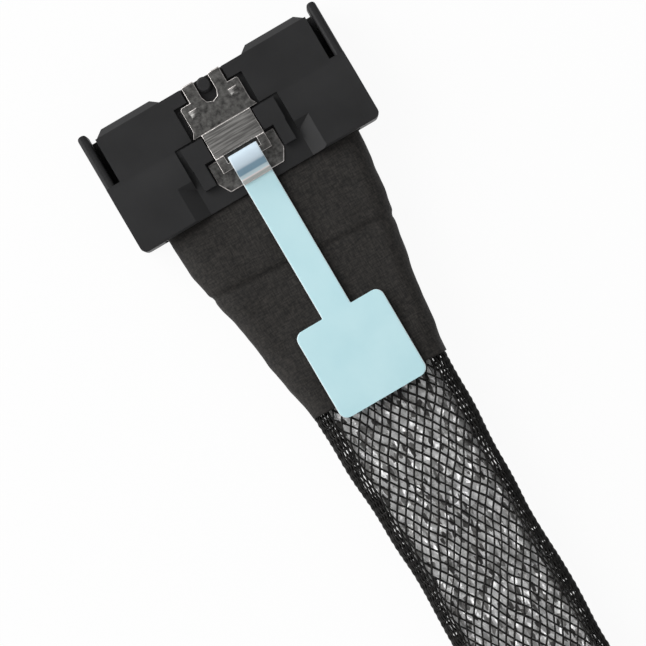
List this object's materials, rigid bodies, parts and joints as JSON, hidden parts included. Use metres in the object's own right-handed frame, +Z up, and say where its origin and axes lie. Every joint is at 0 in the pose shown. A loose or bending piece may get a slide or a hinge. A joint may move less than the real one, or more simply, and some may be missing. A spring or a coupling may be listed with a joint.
{
  "type": "flat internal data cable with latching plugs",
  "caption": "Flat braided data cable with a low latching plug, pull tab and taped tail at each end, folded in a tied hank.",
  "frame": {"origin": "middle of the near plug's flat underside, which lies on the surface", "axes": "+X across the plugs, +Y the way the near plug goes into its socket, +Z up, towards the side of the latch"},
  "size_m": [0.0344, 0.2899, 0.0468],
  "materials": {
    "housing": "fine moulded black polymer",
    "card": "solder mask on glass laminate",
    "contacts": "hard gold plate",
    "mould": "hot-melt moulding",
    "latch": "stamped spring steel, grained across",
    "pull_tab": "pale blue translucent film",
    "tape": "black acetate cloth tape",
    "braid": "open black monofilament braid",
    "ribbon": "crinkled foil shield",
    "tie": "black woven hook-and-loop strap"
  },
  "bodies": {
    "root": {"near_upper_shell": "housing", "near_lower_shell": "housing", "near_paddle_card": "card", "near_upper_contacts": "contacts", "near_lower_contacts": "contacts", "near_inner_mould": "mould", "near_latch_base": "latch", "near_pull_tab": "pull_tab", "near_tape_wrap": "tape", "far_upper_shell": "housing", "far_lower_shell": "housing", "far_paddle_card": "card", "far_upper_contacts": "contacts", "far_lower_contacts": "contacts", "far_inner_mould": "mould", "far_latch_base": "latch", "far_pull_tab": "pull_tab", "far_tape_wrap": "tape", "braided_sleeve": "braid", "ribbon_1": "ribbon", "ribbon_2": "ribbon", "ribbon_3": "ribbon", "ribbon_4": "ribbon", "hank_tie": "tie"},
    "near_latch": {"near_latch_lever": "latch"},
    "far_latch": {"far_latch_lever": "latch"}
  },
  "joints": [
    {"name": "near_latch_flex", "type": "hinge", "parent": "root", "child": "near_latch", "pos_m": [0, 0.01142, 0.00775], "axis": [1, 0, 0], "range_deg": [0, 5], "stiffness_Nm_per_rad": 0.05, "deforming": ["near_pull_tab"]},
    {"name": "far_latch_flex", "type": "hinge", "parent": "root", "child": "far_latch", "pos_m": [0, -0.09657, 0.0147], "axis": [1, 0, 0], "range_deg": [0, 5], "stiffness_Nm_per_rad": 0.05, "deforming": ["far_pull_tab"]}
  ]
}
